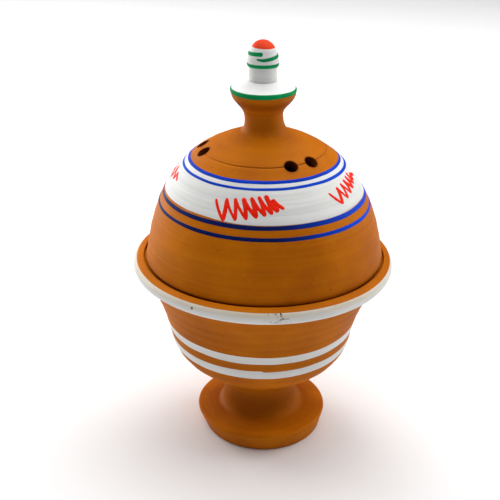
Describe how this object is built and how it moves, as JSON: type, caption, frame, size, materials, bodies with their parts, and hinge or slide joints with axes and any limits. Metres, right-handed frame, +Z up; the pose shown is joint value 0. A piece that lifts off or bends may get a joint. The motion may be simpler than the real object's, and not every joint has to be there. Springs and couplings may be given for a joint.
{
  "type": "footed clay pot with vented lid",
  "caption": "Footed terracotta bowl with a lip and a domed, vented lid that lifts off by its knob, painted with plain bands.",
  "frame": {"origin": "centre of the face that the foot stands on", "axes": "+Z up the pot's axis, -Y towards the front"},
  "size_m": [0.16, 0.16, 0.2536],
  "materials": {
    "terracotta": "unglazed, matt, fine turning lines",
    "white_slip": "matt white paint, faint brush streaks",
    "blue_paint": "satin blue paint",
    "green_paint": "satin green paint",
    "red_paint": "satin red paint"
  },
  "bodies": {
    "pot": {"foot": "terracotta", "bowl": "terracotta"},
    "lid": {"lid_dome": "terracotta", "lid_neck": "terracotta", "knob": "white_slip"}
  },
  "joints": [
    {"name": "lid_lift", "type": "slide", "parent": "pot", "child": "lid", "axis": [0, 0, 1], "range_m": [0, 0.15]}
  ]
}
